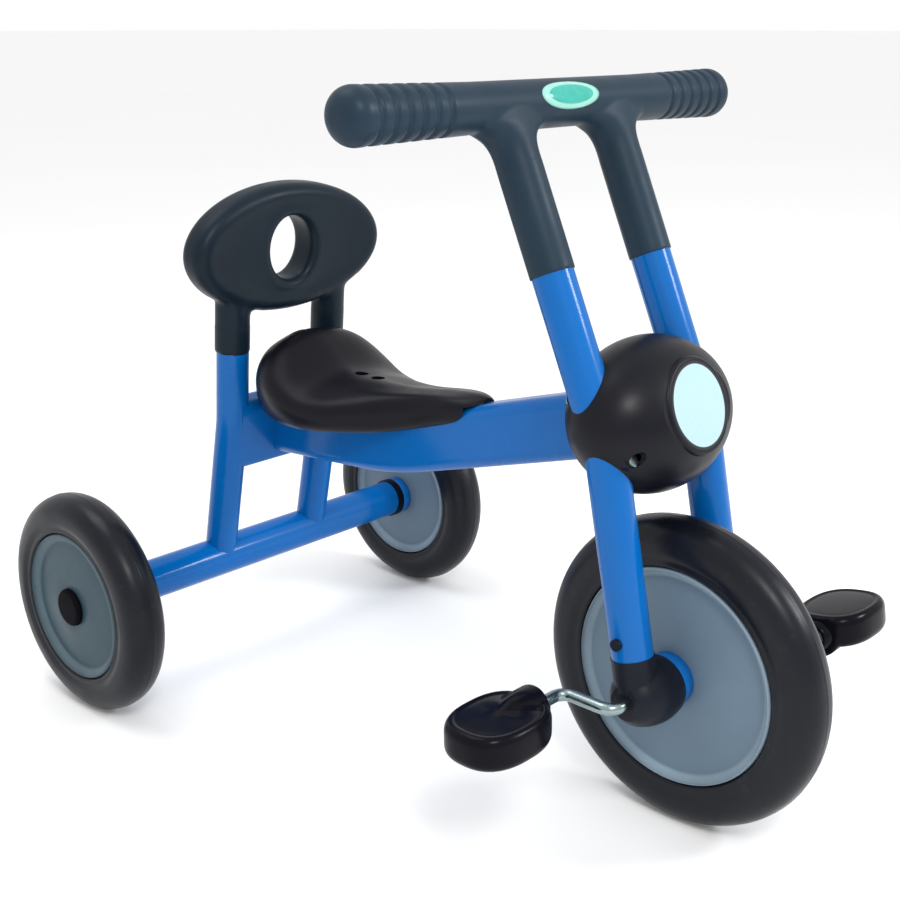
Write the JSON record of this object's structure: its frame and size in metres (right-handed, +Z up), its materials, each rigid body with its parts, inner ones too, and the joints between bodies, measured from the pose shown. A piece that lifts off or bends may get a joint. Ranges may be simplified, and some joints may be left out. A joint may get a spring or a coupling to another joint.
{
  "type": "children's tricycle",
  "caption": "Pedal tricycle for small children: steel tube frame with saddle and backrest, direct-drive front wheel with cranks, steerable fork and handlebar.",
  "frame": {"origin": "on the ground at the centre of the tricycle's footprint, midway between the front of the front tyre and the back of the rear tyres", "axes": "+Z up, +Y rearward (the tricycle drives towards -Y), +X to the rider's left"},
  "size_m": [0.3786, 0.62, 0.4771],
  "materials": {
    "blue_paint": "semi-gloss powder coat",
    "black_moulding": "satin, fine moulded grain",
    "tyre_rubber": "smooth satin rubber",
    "grey_disc": "satin moulded plastic",
    "white_disc": "smooth printed disc",
    "badge_enamel": "glossy domed label",
    "blue_plastic": "semi-gloss moulded plastic",
    "zinc_steel": "bright zinc plate",
    "bush_plastic": "self-lubricating plastic"
  },
  "bodies": {
    "frame": {"main_beam": "blue_paint", "cross_member": "blue_paint", "head_tube": "blue_paint", "upright_left": "blue_paint", "upright_right": "blue_paint", "rear_axle_tube": "blue_paint", "rear_axle_rod": "zinc_steel", "axle_bush_left": "bush_plastic", "axle_bush_right": "bush_plastic", "axle_push_nuts": "zinc_steel", "seat": "black_moulding", "seat_screws": "zinc_steel", "backrest": "black_moulding", "backrest_screws": "zinc_steel", "steering_bush_upper": "bush_plastic", "steering_bush_lower": "bush_plastic"},
    "fork": {"fork_tube_left": "blue_paint", "fork_tube_right": "blue_paint", "crown_plate_upper": "zinc_steel", "crown_plate_lower": "zinc_steel", "steering_bolt": "zinc_steel", "steering_nut": "zinc_steel", "handlebar_tube": "zinc_steel", "handlebar_cover": "black_moulding", "handlebar_badge": "badge_enamel", "head_cover_front": "black_moulding", "head_cover_rear": "black_moulding", "head_cover_disc": "white_disc", "head_cover_screws": "zinc_steel", "hub_housing_left": "black_moulding", "hub_housing_right": "black_moulding", "hub_housing_screws": "zinc_steel", "crank_bush_left": "bush_plastic", "crank_bush_right": "bush_plastic"},
    "front_wheel": {"front_tyre": "tyre_rubber", "front_disc_left": "grey_disc", "front_disc_right": "grey_disc", "front_hub_flange_left": "blue_plastic", "front_hub_flange_right": "blue_plastic", "crankshaft": "zinc_steel", "crank_drive_pin": "zinc_steel", "pedal_stop_washers": "zinc_steel", "pedal_push_nuts": "zinc_steel"},
    "left_pedal": {"pedal_left": "black_moulding"},
    "right_pedal": {"pedal_right": "black_moulding"},
    "rear_wheel_left": {"rear_tyre_left": "tyre_rubber", "rear_disc_inner_left": "grey_disc", "rear_disc_outer_left": "grey_disc", "rear_wheel_bush_left": "bush_plastic", "rear_hub_flange_left": "blue_plastic", "hub_cap_left": "black_moulding"},
    "rear_wheel_right": {"rear_tyre_right": "tyre_rubber", "rear_disc_inner_right": "grey_disc", "rear_disc_outer_right": "grey_disc", "rear_wheel_bush_right": "bush_plastic", "rear_hub_flange_right": "blue_plastic", "hub_cap_right": "black_moulding"}
  },
  "joints": [
    {"name": "steering", "type": "hinge", "parent": "frame", "child": "fork", "pos_m": [0, -0.15375, 0.26627], "axis": [0, 0.309, 0.9511], "range_deg": [-40, 40]},
    {"name": "front_wheel_spin", "type": "hinge", "parent": "fork", "child": "front_wheel", "pos_m": [0, -0.205, 0.105], "axis": [1, 0, 0], "continuous": true},
    {"name": "left_pedal_spin", "type": "hinge", "parent": "front_wheel", "child": "left_pedal", "pos_m": [0.137, -0.245, 0.105], "axis": [1, 0, 0], "continuous": true},
    {"name": "right_pedal_spin", "type": "hinge", "parent": "front_wheel", "child": "right_pedal", "pos_m": [-0.137, -0.165, 0.105], "axis": [1, 0, 0], "continuous": true},
    {"name": "rear_wheel_left_spin", "type": "hinge", "parent": "frame", "child": "rear_wheel_left", "pos_m": [0.1705, 0.225, 0.085], "axis": [1, 0, 0], "continuous": true},
    {"name": "rear_wheel_right_spin", "type": "hinge", "parent": "frame", "child": "rear_wheel_right", "pos_m": [-0.1705, 0.225, 0.085], "axis": [1, 0, 0], "continuous": true}
  ]
}
